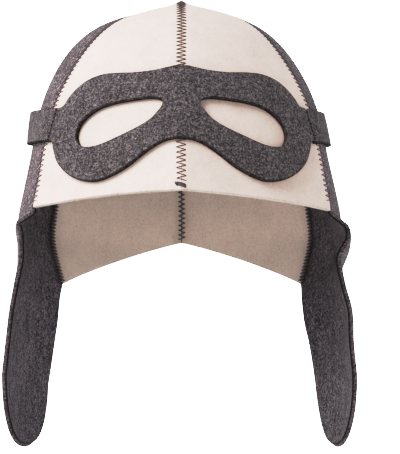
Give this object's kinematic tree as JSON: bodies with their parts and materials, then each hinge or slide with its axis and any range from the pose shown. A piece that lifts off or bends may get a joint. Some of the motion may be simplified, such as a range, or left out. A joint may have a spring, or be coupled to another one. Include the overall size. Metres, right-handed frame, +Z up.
{
  "type": "felt sauna hat with goggles and ear flaps",
  "caption": "Felt sauna hat in the form of an old flying cap, with white and grey gores, long ear flaps and flat felt goggles on a strap.",
  "frame": {"origin": "middle of the head opening, level with the front rim, where a head goes in", "axes": "+Z up through the crown, -Y to the wearer's front, +X to the right as seen from the front"},
  "size_m": [0.2058, 0.1994, 0.2719],
  "materials": {
    "white_felt": "matte",
    "grey_felt": "matte",
    "dark_felt": "matte"
  },
  "bodies": {
    "root": {"front_left_panel": "white_felt", "front_right_panel": "white_felt", "back_left_panel": "white_felt", "back_right_panel": "white_felt", "left_side_panel": "grey_felt", "right_side_panel": "grey_felt", "goggles": "dark_felt", "goggle_strap": "dark_felt"}
  },
  "joints": []
}
